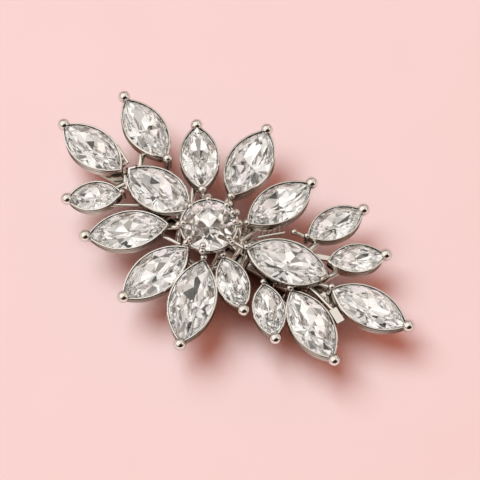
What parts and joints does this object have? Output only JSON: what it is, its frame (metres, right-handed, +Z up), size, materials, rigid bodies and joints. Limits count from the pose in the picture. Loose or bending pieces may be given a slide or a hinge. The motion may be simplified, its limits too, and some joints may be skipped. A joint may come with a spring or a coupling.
{
  "type": "leaf brooch",
  "caption": "Leaf-spray brooch with clear navette stones in ball-prong settings round a raised round stone, and a bar pin on its back.",
  "frame": {"origin": "under the middle of the brooch, in the plane of the surface that the feet of its pin rest on", "axes": "+X along the brooch to the picture's lower right end, +Y across it to the picture's upper right side, +Z up out of the stones"},
  "size_m": [0.0668, 0.0409, 0.0138],
  "materials": {
    "plated_metal": "bright plating",
    "pin_metal": "plated steel",
    "center_glass": "cut and foil-backed",
    "leaf_glass": "cut and foil-backed"
  },
  "bodies": {
    "root": {"frame": "plated_metal", "pin_back": "pin_metal", "center_stone": "center_glass", "leaf_stone_1": "leaf_glass", "leaf_stone_2": "leaf_glass", "leaf_stone_3": "leaf_glass", "leaf_stone_4": "leaf_glass", "leaf_stone_5": "leaf_glass", "leaf_stone_6": "leaf_glass", "leaf_stone_7": "leaf_glass", "leaf_stone_8": "leaf_glass", "leaf_stone_9": "leaf_glass", "leaf_stone_10": "leaf_glass", "leaf_stone_11": "leaf_glass", "leaf_stone_12": "leaf_glass", "leaf_stone_13": "leaf_glass", "leaf_stone_14": "leaf_glass", "leaf_stone_15": "leaf_glass", "leaf_stone_16": "leaf_glass", "leaf_stone_17": "leaf_glass"}
  },
  "joints": []
}
